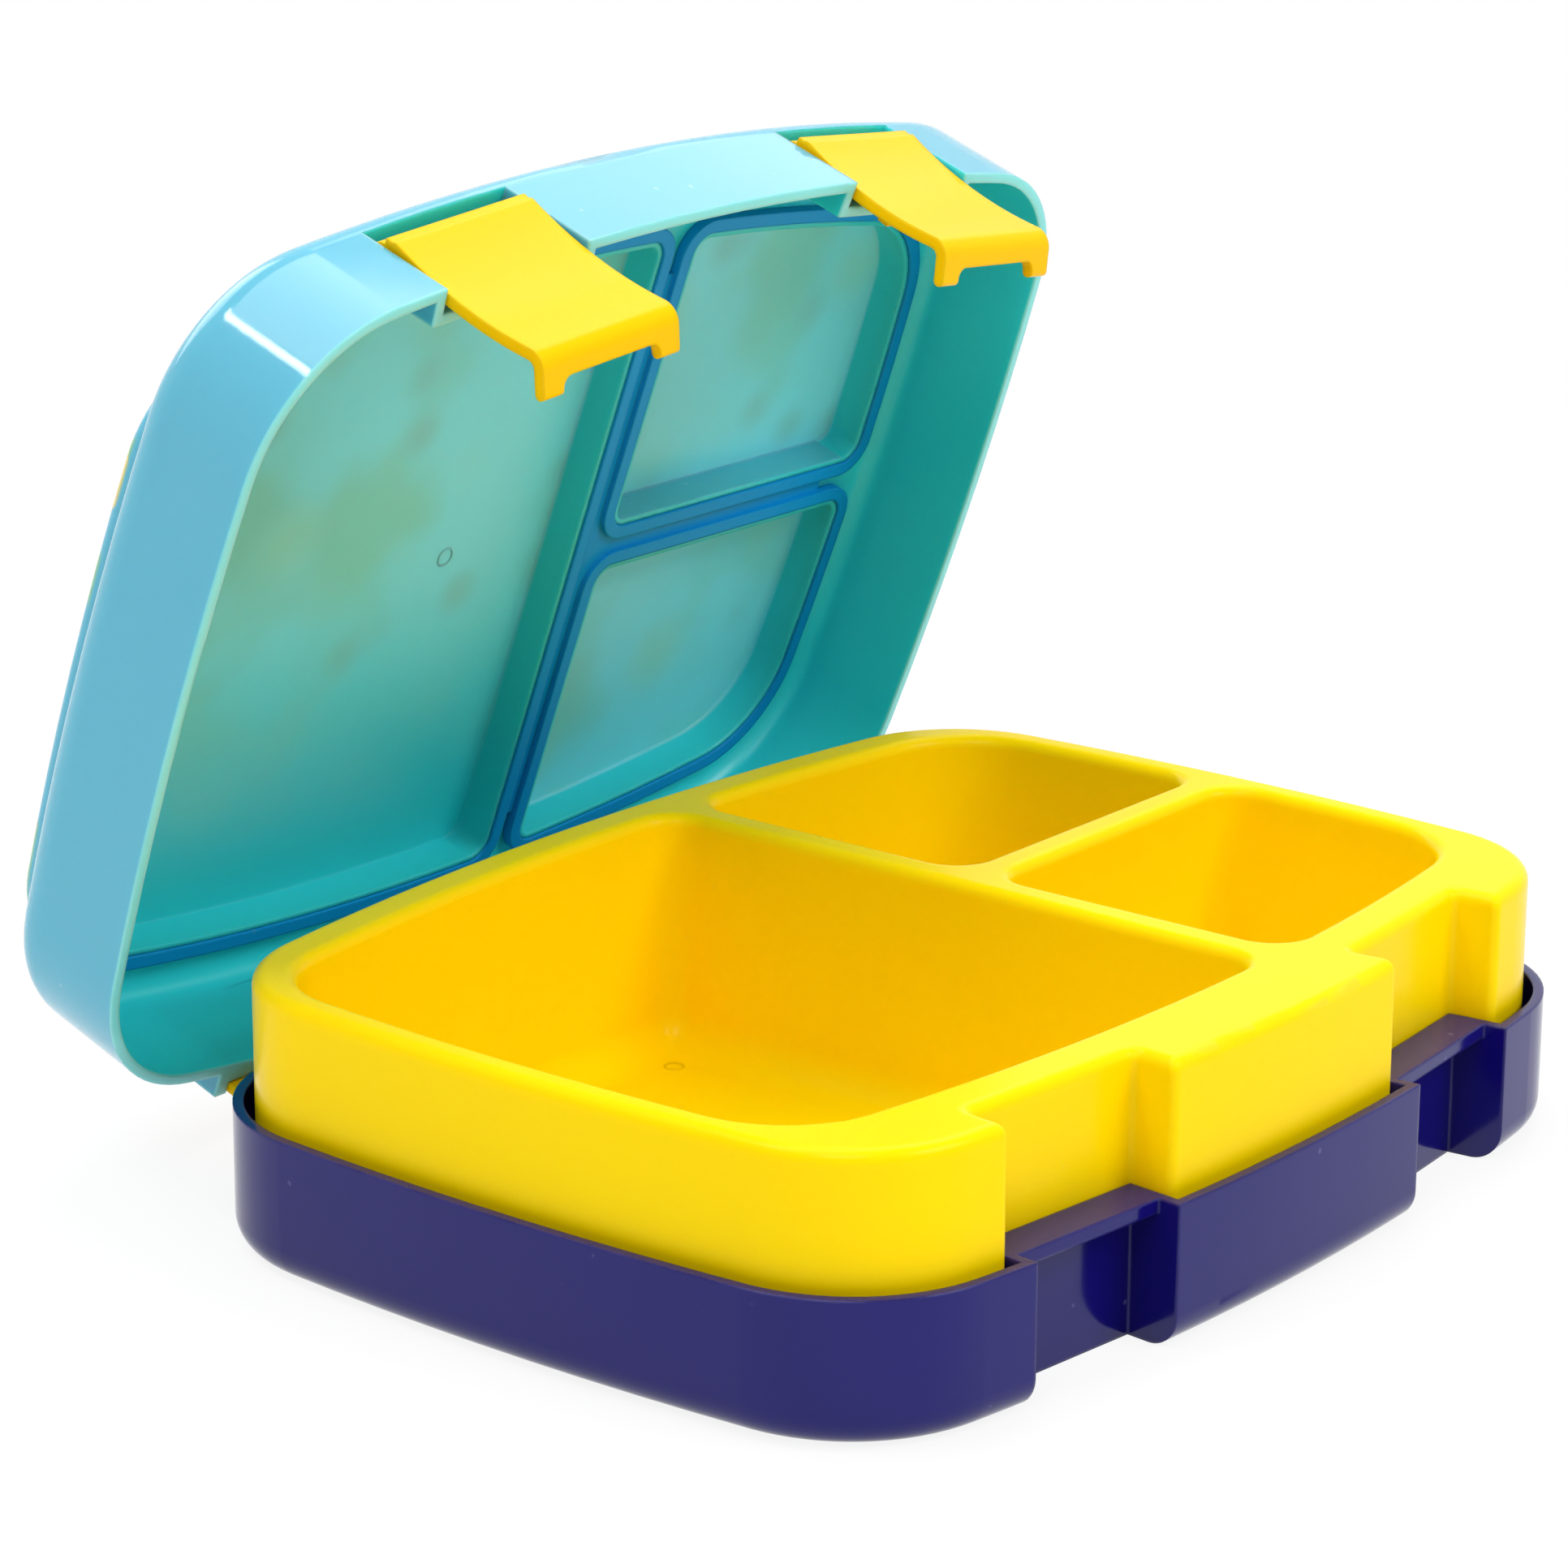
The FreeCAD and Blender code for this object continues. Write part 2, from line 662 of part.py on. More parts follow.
web_deep = size("latch_set") + size("latch_plate") / 2
latch_web = box("latch_web", LATCH_WIDTH, (web_deep, "Sizes.latch_set + Sizes.latch_plate / 2"),
                total("latch_barrel"),
                vector(-LATCH_WIDTH[0] / 2, latch_axis.y - web_deep, latch_axis.z - size("latch_barrel")))
hook_root = size("latch_inner") - HALF_DEPTH
hook_level = catch_bottom - size("hook_gap", "hook_height")
latch_hook = box("latch_hook", total("clasp_width", "-lip_foot", "-lip_foot"),
                 total("hook_tip", "-latch_inner"), total("hook_height"),
                 vector(size("lip_foot") - GAP_WIDTH[0] / 2, hook_root, hook_level))
latch_form = fuse("latch_form", latch_plate, latch_barrel, latch_pin, latch_web, latch_hook)
lip_along = (lip_tip - lip_root).normalize()
arch_start = lip_tip + lip_along * (size("latch_plate") / 2 - size("lip_arch"))
arch_tilt = FreeCAD.Rotation(X_AXIS, math.degrees(math.atan2(-lip_along.y, lip_along.z)))
arch_deep = 4 * size("latch_plate")
arch_width = total("clasp_width", "-clasp_gap", "-clasp_gap", "-lip_foot", "-lip_foot")
arch_corner = arch_start - arch_tilt.multVec(vector(arch_width[0] / 2, arch_deep / 2, 0))
arch_box = box("arch_box", arch_width, (arch_deep, "%f" % arch_deep), total("lip_arch", "lip_arch"), arch_corner)
arch_box.Placement = FreeCAD.Placement(arch_corner, arch_tilt)
arch_box.recompute()
arch_across = arch_tilt.multVec(vector(0, 1, 0))


def arch_shoulder(edge):
    """The two edges of the arch's cutter that lie across the lip at the arch's crown."""
    run = (edge.Vertexes[-1].Point - edge.Vertexes[0].Point).normalize()
    level = (edge.CenterOfMass - arch_start).dot(lip_along)
    return abs(run.dot(arch_across)) > 0.99 and abs(level) < 1e-4


arch = rounded("arch", arch_box, size("lip_arch", "-rib_width"), arch_shoulder)
latch = cut("latch", latch_form, arch)

# Hinge link: a plate with a barrel at the base and an eye at the lid, both with moulded trunnions

link_width = total("clasp_width", "-run_gap", "-run_gap")
link_rise = EYE.z - HINGE.z
link_flat = box("link_flat", link_width, total("link_plate"), (link_rise, "%f" % link_rise),
                vector(-link_width[0] / 2, SEAT + size("run_gap"), HINGE.z))
link_plate = rounded(
    "link_plate", link_flat, size("link_plate") / 4,
    lambda edge: abs(edge.CenterOfMass.y - LINK_FACE) < 1e-4 and edge.BoundBox.ZLength > 1,
)
link = fuse(
    "link", link_plate,
    rod("link_barrel", total("link_barrel"), link_width, HINGE),
    rod("link_eye", total("link_eye"), link_width, EYE),
    rod("link_pin", total("link_pin"), pin_length, HINGE),
    rod("link_eye_pin", total("link_eye_pin"), pin_length, EYE),
)
doc.recompute()

# The lid's pieces are turned open about the hinge, as the box is shown

OPEN = FreeCAD.Placement(vector(), FreeCAD.Rotation(X_AXIS, -size("lid_open")), HINGE)


def place(label, source, placement):
    piece = add("Part::Feature", label, Shape=source.Shape)
    piece.Label = label
    piece.Placement = placement.multiply(piece.Placement)
    return piece


still = FreeCAD.Placement()
pieces = [
    place("base_shell", base_moulding, still),
    place("food_tray", tray_moulding, still),
    place("lid_shell", lid_moulding, OPEN),
    place("seal_gasket", seal_moulding, OPEN),
]
tuck = FreeCAD.Placement(vector(), FreeCAD.Rotation(X_AXIS, size("latch_tuck")), latch_axis)
for side, sign in SIDES.items():
    beside = FreeCAD.Placement(X_AXIS * (sign * size("clasp_spread")), FreeCAD.Rotation())
    pieces.append(place(side + "_latch", latch, OPEN.multiply(to_clasp(tuck, sign))))
    pieces.append(place(side + "_hinge_link", link, OPEN.multiply(beside)))
doc.recompute()

for item in doc.Objects:
    if "Invalid" in item.State or "Error" in item.State:
        raise ValueError("%s did not build" % item.Label)
os.makedirs("parts", exist_ok=True)
for piece in pieces:
    shape = piece.Shape
    if shape.isNull() or not shape.isValid() or len(shape.Solids) != 1:
        raise ValueError("%s isn't one sound solid" % piece.Label)
    shape.exportStep("parts/%s.step" % piece.Label)
    print(piece.Label, round(shape.Volume))
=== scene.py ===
# %% [markdown]
# # A lunch box for school, dressed for the camera
# The CAD model already has every moulded piece in its place, so this lesson is about finish: how thin
# translucent plastic, glossy opaque plastic and rubber differ, and how plain studio light shows it.

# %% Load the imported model
import bpy
import bmesh
import math
from collections import namedtuple
from mathutils import Matrix, Vector


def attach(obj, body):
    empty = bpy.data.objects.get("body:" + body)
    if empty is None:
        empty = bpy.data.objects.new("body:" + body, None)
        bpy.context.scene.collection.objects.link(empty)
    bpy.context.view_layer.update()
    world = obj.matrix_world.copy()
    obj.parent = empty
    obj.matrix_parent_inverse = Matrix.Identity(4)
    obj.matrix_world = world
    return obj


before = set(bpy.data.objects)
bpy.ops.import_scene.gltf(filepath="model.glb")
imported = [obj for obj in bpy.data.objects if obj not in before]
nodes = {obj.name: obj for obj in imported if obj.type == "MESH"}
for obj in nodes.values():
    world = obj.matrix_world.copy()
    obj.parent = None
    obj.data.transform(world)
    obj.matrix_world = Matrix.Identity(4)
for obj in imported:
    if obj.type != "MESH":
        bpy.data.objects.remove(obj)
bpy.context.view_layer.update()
print("pieces:", sorted(nodes))

# %% [markdown]
# ## Short names for node work
# Materials are built from nodes, and the same few moves come back all the time: add a node, set its
# sockets, link it or give it a constant. Small helpers keep the cells below about plastic, not wiring.

# %% Node helpers
def node(tree, kind, **settings):
    item = tree.nodes.new("ShaderNode" + kind)
    for key, value in settings.items():
        setattr(item, key, value)
    return item


def preset(item, values):
    """Sets input sockets by name."""
    for name, value in values.items():
        item.inputs[name].default_value = value
    return item


def feed(tree, target, source):
    """Gives a socket a constant or a link."""
    if isinstance(source, bpy.types.NodeSocket):
        tree.links.new(source, target)
    else:
        target.default_value = source


def maths(tree, operation, first, second=0.0, clamp=False):
    item = node(tree, "Math", operation=operation, use_clamp=clamp)
    feed(tree, item.inputs[0], first)
    feed(tree, item.inputs[1], second)
    return item.outputs[0]


def both(tree, first, second):
    return maths(tree, "MULTIPLY", first, second)


def ease(tree, value, low, high):
    """A smooth 0 to 1 step between two values."""
    item = node(tree, "MapRange", interpolation_type="SMOOTHSTEP")
    feed(tree, item.inputs["Value"], value)
    preset(item, {"From Min": low, "From Max": high})
    return item.outputs["Result"]


def mix(tree, factor, first, second):
    item = node(tree, "Mix", data_type="RGBA")
    feed(tree, item.inputs["Factor"], factor)
    feed(tree, item.inputs["A"], first)
    feed(tree, item.inputs["B"], second)
    return item.outputs["Result"]


def add_sockets(group, direction, kind, names):
    for name in names:
        group.interface.new_socket(name, in_out=direction, socket_type="NodeSocket" + kind)


print("node helpers ready")

# %% [markdown]
# ## The skin of moulded plastic
# Injection-moulded plastic is never quite one gloss: the mould's polish, faint flow marks and handling
# leave it slightly uneven. One node group makes that for every plastic here, so each material only says
# how strong it should be. It puts out a roughness, a height for a Bump node, a speck mask and the flow.

# %% Moulded skin group
FINE_SHARE = 0.04
SPECK_EDGE = (0.16, 0.08)
SPECK_PATCH = (0.60, 0.66)


def make_moulded_skin():
    group = bpy.data.node_groups.new("moulded skin", "ShaderNodeTree")
    add_sockets(group, "INPUT", "Vector", ["Vector"])
    add_sockets(group, "INPUT", "Float", ["Roughness", "Unevenness"])
    add_sockets(group, "OUTPUT", "Float", ["Roughness", "Height", "Specks", "Flow"])
    entry = group.nodes.new("NodeGroupInput")
    leave = group.nodes.new("NodeGroupOutput")
    flow = preset(node(group, "TexNoise"), {"Scale": 22.0, "Detail": 3.0, "Distortion": 0.6})
    smear = preset(node(group, "TexNoise"), {"Scale": 150.0, "Detail": 5.0})
    fine = preset(node(group, "TexNoise"), {"Scale": 900.0, "Detail": 2.0})
    dots = preset(node(group, "TexVoronoi"), {"Scale": 260.0})
    for texture in (flow, smear, fine, dots):
        group.links.new(entry.outputs["Vector"], texture.inputs["Vector"])
    swing = maths(group, "ADD", maths(group, "SUBTRACT", flow.outputs["Fac"], 0.5),
                  maths(group, "SUBTRACT", smear.outputs["Fac"], 0.5))
    rough = maths(group, "ADD", entry.outputs["Roughness"],
                  both(group, swing, entry.outputs["Unevenness"]), clamp=True)
    height = maths(group, "ADD", flow.outputs["Fac"], both(group, fine.outputs["Fac"], FINE_SHARE))
    specks = both(group, ease(group, dots.outputs["Distance"], *SPECK_EDGE),
                  ease(group, smear.outputs["Fac"], *SPECK_PATCH))
    group.links.new(rough, leave.inputs["Roughness"])
    group.links.new(height, leave.inputs["Height"])
    group.links.new(specks, leave.inputs["Specks"])
    group.links.new(flow.outputs["Fac"], leave.inputs["Flow"])
    return group


MOULDED_SKIN = make_moulded_skin()
print("group:", MOULDED_SKIN.name)

# %% [markdown]
# ## Soft, handled edges and a painted rim highlight
# A mould's edges are never knife sharp, and hands and dishwashers rub them first. The Bevel node gives a
# normal that is rounded near an edge, so rims catch a thin line of light. Where that normal leans away
# from the flat one there is an edge, and a patchy noise on it makes a mask for paler, duller edges:
# partly faint rubbing, partly a painted highlight along the rims.

# %% Soft edges group, with the mask for rubbing and the painted rim highlight
EDGE_LEAN = (0.985, 0.88)
RUB_SHEEN_PATCH = (0.42, 0.62)


def make_soft_edges_and_sheen():
    group = bpy.data.node_groups.new("soft edges and sheen", "ShaderNodeTree")
    add_sockets(group, "INPUT", "Vector", ["Vector"])
    add_sockets(group, "INPUT", "Float", ["Width"])
    add_sockets(group, "OUTPUT", "Vector", ["Normal"])
    add_sockets(group, "OUTPUT", "Float", ["Rub"])
    entry = group.nodes.new("NodeGroupInput")
    leave = group.nodes.new("NodeGroupOutput")
    round_edge = node(group, "Bevel", samples=6)
    group.links.new(entry.outputs["Width"], round_edge.inputs["Radius"])
    flat = node(group, "NewGeometry")
    lean = node(group, "VectorMath", operation="DOT_PRODUCT")
    group.links.new(round_edge.outputs["Normal"], lean.inputs[0])
    group.links.new(flat.outputs["Normal"], lean.inputs[1])
    patches = preset(node(group, "TexNoise"), {"Scale": 70.0, "Detail": 4.0})
    group.links.new(entry.outputs["Vector"], patches.inputs["Vector"])
    # Edge mask: partly faint rubbing, partly a painted highlight along the rims.
    rub_and_sheen = both(group, ease(group, lean.outputs["Value"], *EDGE_LEAN),
               ease(group, patches.outputs["Fac"], *RUB_SHEEN_PATCH))
    group.links.new(round_edge.outputs["Normal"], leave.inputs["Normal"])
    group.links.new(rub_and_sheen, leave.inputs["Rub"])
    return group


SOFT_EDGES_AND_SHEEN = make_soft_edges_and_sheen()
print("group:", SOFT_EDGES_AND_SHEEN.name)

# %% [markdown]
# ## One recipe for moulded pieces
# Every piece here came out of a mould, so all of them share the two groups and differ in a few numbers.
# The recipe hands back its parts, because each material still links its own colour to the shader.

# %% Moulded finish
RUB_DULLING = 0.12
BUMP_DISTANCE = 0.001
Moulded = namedtuple("Moulded", "finish tree skin place grain edges dulled")
# The rub colour and share paint paler edges: partly wear, partly a painted rim highlight.
WearAndSheen = namedtuple("WearAndSheen", "speck_colour speck_share rub_colour rub_share")


def new_finish(name):
    """An empty node material with its Principled BSDF and its output."""
    finish = bpy.data.materials.new(name)
    finish.use_nodes = True
    tree = finish.node_tree
    tree.nodes.clear()
    out = node(tree, "OutputMaterial")
    skin = node(tree, "BsdfPrincipled")
    tree.links.new(skin.outputs["BSDF"], out.inputs["Surface"])
    return finish, tree, skin, out


def moulded_finish(name, roughness, unevenness, edge, bump):
    finish, tree, skin, _ = new_finish(name)
    place = node(tree, "TexCoord")
    grain = node(tree, "Group", node_tree=MOULDED_SKIN)
    preset(grain, {"Roughness": roughness, "Unevenness": unevenness})
    edges = preset(node(tree, "Group", node_tree=SOFT_EDGES_AND_SHEEN), {"Width": edge})
    for group in (grain, edges):
        tree.links.new(place.outputs["Object"], group.inputs["Vector"])
    dulled = maths(tree, "ADD", grain.outputs["Roughness"],
                   both(tree, edges.outputs["Rub"], RUB_DULLING))
    tree.links.new(dulled, skin.inputs["Roughness"])
    bend = preset(node(tree, "Bump"), {"Strength": bump, "Distance": BUMP_DISTANCE})
    tree.links.new(grain.outputs["Height"], bend.inputs["Height"])
    tree.links.new(edges.outputs["Normal"], bend.inputs["Normal"])
    tree.links.new(bend.outputs["Normal"], skin.inputs["Normal"])
    return Moulded(finish, tree, skin, place, grain, edges, dulled)


def worn_and_sheened(made, shade, wear_and_sheen):
    """A colour with sparse specks of dust and paler edges on it: partly rubbing, partly a painted rim
    highlight.
    """
    tree = made.tree
    dust = both(tree, made.grain.outputs["Specks"], wear_and_sheen.speck_share)
    rub_and_sheen = both(tree, made.edges.outputs["Rub"], wear_and_sheen.rub_share)
    return mix(tree, rub_and_sheen, mix(tree, dust, shade, wear_and_sheen.speck_colour), wear_and_sheen.rub_colour)


def flowing(made, deep, pale):
    """Two close colours that drift into each other along the flow marks."""
    return mix(made.tree, made.grain.outputs["Flow"], deep, pale)


print("a finish has", len(Moulded._fields), "parts to build on")

# %% [markdown]
# ## Yellow tray, latches and links
# The tray is thick opaque polypropylene. It looks lemon where the light falls on it and orange in the
# compartments, because light that bounces between yellow walls loses a little green each time. So one
# yellow is enough there: the path tracer deepens it by itself. A little subsurface softens the edges. The
# latches and links get a darker copy of the yellow, painted shade that offsets the strong light on them.

# %% Yellow plastic
# Its rub colour, paler than the yellow, is partly wear and partly a painted rim highlight.
YELLOW_WEAR_AND_SHEEN = WearAndSheen((1.0, 0.86, 0.20, 1), 0.10, (1.0, 0.78, 0.03, 1), 0.35)


def yellow_finish(name, deep, pale):
    made = moulded_finish(name, roughness=0.20, unevenness=0.08, edge=0.0010, bump=0.03)
    shade = worn_and_sheened(made, flowing(made, deep, pale), YELLOW_WEAR_AND_SHEEN)
    made.tree.links.new(shade, made.skin.inputs["Base Color"])
    preset(made.skin, {
        "Subsurface Weight": 0.15,
        "Subsurface Radius": (1.0, 0.55, 0.05),
        "Subsurface Scale": 0.002,
        "IOR": 1.49,
        "Specular IOR Level": 0.06,
    })
    return made.finish


TRAY_YELLOW = yellow_finish("tray yellow", (1.0, 0.675, 0.0004, 1), (1.0, 0.695, 0.0005, 1))
# The latch yellow is darker than the tray's: painted shade that offsets the strong lamp light on the
# latches and links.
SHADED_LATCH_YELLOW = yellow_finish("latch yellow painted shade", (0.93, 0.525, 0.0004, 1), (0.93, 0.545, 0.0005, 1))
print("yellow:", TRAY_YELLOW.name, SHADED_LATCH_YELLOW.name)

# %% [markdown]
# ## Dark blue base
# The base is glossy opaque plastic in a deep violet blue. Dark gloss shows the studio in it, so its
# colour stays simple and its reflections do the work.

# %% Dark blue plastic
BASE_DEEP = (0.0042, 0.0020, 0.122, 1)
BASE_PALE = (0.0054, 0.0028, 0.138, 1)
# Its rub colour, paler than the blue, is partly wear and partly a painted rim highlight.
BASE_WEAR_AND_SHEEN = WearAndSheen((0.16, 0.15, 0.34, 1), 0.30, (0.030, 0.026, 0.21, 1), 0.6)


def base_finish():
    made = moulded_finish("base dark blue", roughness=0.12, unevenness=0.08, edge=0.0008, bump=0.03)
    shade = worn_and_sheened(made, flowing(made, BASE_DEEP, BASE_PALE), BASE_WEAR_AND_SHEEN)
    made.tree.links.new(shade, made.skin.inputs["Base Color"])
    preset(made.skin, {"IOR": 1.50, "Specular IOR Level": 0.34})
    return made.finish


BASE_BLUE = base_finish()
print("base:", BASE_BLUE.name)

# %% [markdown]
# ## Where a spot lies in the closed lid
# The lid stands open, but its windows and its outline are easiest to describe as if it were shut.
# A Mapping node that turns Object coordinates back by the opening angle gives those closed coordinates,
# and because they are the piece's own, the finish stays put when the lid swings. Inner and outer faces
# are told apart by geometry: an inner face looks towards the middle of the lid's hollow.

# %% Closed coordinates
OPEN_ANGLE = math.radians(69.75)
HINGE = Vector((0.0, 0.0772, 0.0072))
TO_CLOSED = Matrix.Rotation(OPEN_ANGLE, 3, "X")
TO_OPEN = TO_CLOSED.transposed()
CLOSED_SHIFT = HINGE - TO_CLOSED @ HINGE
LID_MIDDLE = Vector((0.0, 0.0, 0.030))
FACING_BAND = 0.002


def turned_back(tree, source, kind):
    turn = node(tree, "Mapping", vector_type=kind)
    tree.links.new(source, turn.inputs["Vector"])
    return preset(turn, {"Rotation": (OPEN_ANGLE, 0, 0)})


def closed_place(tree, place):
    turn = turned_back(tree, place.outputs["Object"], "POINT")
    return preset(turn, {"Location": CLOSED_SHIFT}).outputs["Vector"]


def inner_mask(tree, place, spot):
    turn = turned_back(tree, place.outputs["Normal"], "VECTOR")
    arm = node(tree, "VectorMath", operation="SUBTRACT")
    tree.links.new(spot, arm.inputs[0])
    arm.inputs[1].default_value = LID_MIDDLE
    dot = node(tree, "VectorMath", operation="DOT_PRODUCT")
    tree.links.new(arm.outputs["Vector"], dot.inputs[0])
    tree.links.new(turn.outputs["Vector"], dot.inputs[1])
    return ease(tree, dot.outputs["Value"], FACING_BAND, -FACING_BAND)


print("the lid is turned back by", round(math.degrees(OPEN_ANGLE), 2), "degrees")

# %% [markdown]
# ## A plain printed design
# The lid's top carries a print that shows faintly through the windows. Three textures are enough for a
# plain one of patches, dots and rounds: crisp and full of colour outside, hazy and pale from inside.

# %% Printed design
PRINT_LEAF = (0.20, 0.46, 0.16, 1)
PRINT_EARTH = (0.30, 0.17, 0.08, 1)
PRINT_SUN = (0.86, 0.56, 0.05, 1)
PANEL_OLIVE = (0.190, 0.580, 0.540, 1)
PANEL_EARTH = (0.190, 0.530, 0.540, 1)
PANEL_SUN = (0.250, 0.610, 0.540, 1)
CRISP_PRINT = (
    (PRINT_LEAF, (0.50, 0.52), 1.0),
    (PRINT_EARTH, (0.21, 0.19), 1.0),
    (PRINT_SUN, (0.26, 0.24), 1.0),
)
HAZY_PRINT = (
    (PANEL_OLIVE, (0.38, 0.64), 1.0),
    (PANEL_EARTH, (0.38, 0.02), 0.8),
    (PANEL_SUN, (0.40, 0.05), 0.7),
)


def lid_print(tree, spot):
    """Three values: wandering patches, small dots and larger rounds."""
    patches = preset(node(tree, "TexNoise"), {"Scale": 26.0, "Detail": 2.0})
    blots = preset(node(tree, "TexVoronoi", feature="SMOOTH_F1"), {"Scale": 56.0, "Smoothness": 0.5})
    rounds = preset(node(tree, "TexVoronoi", feature="SMOOTH_F1"), {"Scale": 34.0, "Smoothness": 0.35})
    for texture in (patches, blots, rounds):
        tree.links.new(spot, texture.inputs["Vector"])
    return patches.outputs["Fac"], blots.outputs["Distance"], rounds.outputs["Distance"]


def printed(tree, shade, values, design, area):
    """Lays the three inks of a design over a colour, within an area."""
    for value, (ink, band, share) in zip(values, design):
        shade = mix(tree, both(tree, ease(tree, value, *band), both(tree, area, share)), shade, ink)
    return shade


print("inks:", len(CRISP_PRINT), "outside,", len(HAZY_PRINT), "seen from inside")

# %% [markdown]
# ## Translucent lid
# The lid is thin milky plastic. Outside it looks pale aqua; inside, where light has passed through it
# and bounced off the yellow tray, it looks teal, and that teal is painted into the inner faces as painted
# bounce light and shade. Glass-like transmission would show too much of what lies behind, so subsurface
# scattering gives the milkiness. The rim, which gathers light, is painted mint as a painted glow, and the
# windows are painted paler inside as painted light coming through them.

# %% Lid plastic
OUTER_AQUA = (0.100, 0.430, 0.575, 1)
OUTER_AQUA_PALE = (0.112, 0.450, 0.595, 1)
# Inner faces: painted bounce light and shade, a teal standing in for light passed through the lid and
# bounced off the tray.
INNER_BOUNCE_TEAL = (0.022, 0.570, 0.620, 1)
INNER_BOUNCE_TEAL_PALE = (0.030, 0.610, 0.660, 1)
# Painted light: the windows are paler inside, as if lit through the thin panels.
PANEL_PAINTED_GLOW = (0.190, 0.660, 0.740, 1)
# Painted glow: the rim band is painted a pale mint for the light that the plastic's edge gathers.
RIM_GLOW_MINT = (0.26, 0.72, 0.70, 1)
RIM_GLOW_SHARE = 0.8
INSIDE_DULLING = 0.26
# Its rub colour, paler than the aqua, is partly wear and partly a painted rim highlight.
LID_WEAR_AND_SHEEN = WearAndSheen((0.60, 0.80, 0.85, 1), 0.15, (0.40, 0.74, 0.80, 1), 0.5)
TOP_LEVEL = (0.0535, 0.0550)
PANEL_LEVEL = (0.0530, 0.0538)
RIM_GLOW_LEVEL = (0.0253, 0.0248)
FRONT_FADE = (0.065, 0.000)
SIDE_FADE = (0.020, 0.028)


def window_area(tree, parts):
    """The lid's panels, fading out towards the back of the main one: where the painted light coming
    through the windows and the hazy print are laid.
    """
    panel = ease(tree, parts.outputs["Z"], *PANEL_LEVEL)
    towards_front = ease(tree, parts.outputs["Y"], *FRONT_FADE)
    over_windows = ease(tree, parts.outputs["X"], *SIDE_FADE)
    return both(tree, panel, maths(tree, "MAXIMUM", towards_front, over_windows))


def lid_colour(made, spot, inside):
    tree = made.tree
    parts = node(tree, "SeparateXYZ")
    tree.links.new(spot, parts.inputs["Vector"])
    level = parts.outputs["Z"]
    values = lid_print(tree, spot)
    outer = worn_and_sheened(made, flowing(made, OUTER_AQUA, OUTER_AQUA_PALE), LID_WEAR_AND_SHEEN)
    outer = printed(tree, outer, values, CRISP_PRINT, ease(tree, level, *TOP_LEVEL))
    # The window area carries the painted light coming through the windows, and the hazy print.
    window_glow_and_print = window_area(tree, parts)
    # The inner faces take the painted teal, and the windows the painted glow of light coming through
    # them.
    inner_painted_light_and_print = mix(tree, window_glow_and_print, flowing(made, INNER_BOUNCE_TEAL, INNER_BOUNCE_TEAL_PALE), PANEL_PAINTED_GLOW)
    inner_painted_light_and_print = printed(tree, inner_painted_light_and_print, values, HAZY_PRINT, window_glow_and_print)
    # Painted glow along the rim band.
    rim_glow = both(tree, ease(tree, level, *RIM_GLOW_LEVEL), RIM_GLOW_SHARE)
    return mix(tree, rim_glow, mix(tree, inside, outer, inner_painted_light_and_print), RIM_GLOW_MINT)


def lid_finish():
    made = moulded_finish("lid translucent aqua", roughness=0.09, unevenness=0.07,
                          edge=0.0009, bump=0.03)
    tree, skin = made.tree, made.skin
    spot = closed_place(tree, made.place)
    inside = inner_mask(tree, made.place, spot)
    tree.links.new(lid_colour(made, spot, inside), skin.inputs["Base Color"])
    matt_inside = maths(tree, "ADD", made.dulled, both(tree, inside, INSIDE_DULLING))
    tree.links.new(matt_inside, skin.inputs["Roughness"])
    preset(skin, {
        "Subsurface Weight": 0.55,
        "Subsurface Radius": (0.35, 1.0, 1.0),
        "Subsurface Scale": 0.004,
        "IOR": 1.49,
        "Specular IOR Level": 0.45,
    })
    return made.finish


LID_AQUA = lid_finish()
print("lid:", LID_AQUA.name)

# %% [markdown]
# ## Rubber seal
# The seal is soft blue rubber: matt beside the plastic, with a faint bloom.

# %% Seal rubber
SEAL_DEEP = (0.0006, 0.270, 0.660, 1)
SEAL_PALE = (0.0010, 0.305, 0.720, 1)
# Its rub colour, paler than the blue, is partly wear and partly a painted rim highlight.
SEAL_WEAR_AND_SHEEN = WearAndSheen((0.10, 0.36, 0.58, 1), 0.3, (0.02, 0.34, 0.70, 1), 0.4)


def seal_finish():
    made = moulded_finish("seal blue rubber", roughness=0.45, unevenness=0.14, edge=0.0007, bump=0.12)
    shade = worn_and_sheened(made, flowing(made, SEAL_DEEP, SEAL_PALE), SEAL_WEAR_AND_SHEEN)
    made.tree.links.new(shade, made.skin.inputs["Base Color"])
    preset(made.skin, {"Specular IOR Level": 0.15})
    return made.finish


SEAL_BLUE = seal_finish()
print("seal:", SEAL_BLUE.name)

# %% [markdown]
# ## Finishes on the pieces
# A moulded piece is one plastic all through, so each CAD node gets a single material.

# %% Give every piece its finish
FINISHES = {
    "base_shell": BASE_BLUE,
    "food_tray": TRAY_YELLOW,
    "lid_shell": LID_AQUA,
    "seal_gasket": SEAL_BLUE,
    "left_latch": SHADED_LATCH_YELLOW,
    "right_latch": SHADED_LATCH_YELLOW,
    "left_hinge_link": SHADED_LATCH_YELLOW,
    "right_hinge_link": SHADED_LATCH_YELLOW,
}
for name, finish in FINISHES.items():
    slots = nodes[name].data.materials
    slots.clear()
    slots.append(finish)
print("finished:", len(FINISHES), "pieces")

# %% [markdown]
# ## Moulding marks
# Where the melt enters a mould it leaves a small raised ring: one shows on the floor of the main
# compartment and one inside the lid's largest window. A ring could be a bump in the material, but as
# geometry it holds up close by. A small circle is spun round an axis and set half into the surface,
# whose height a ray finds on the CAD node.

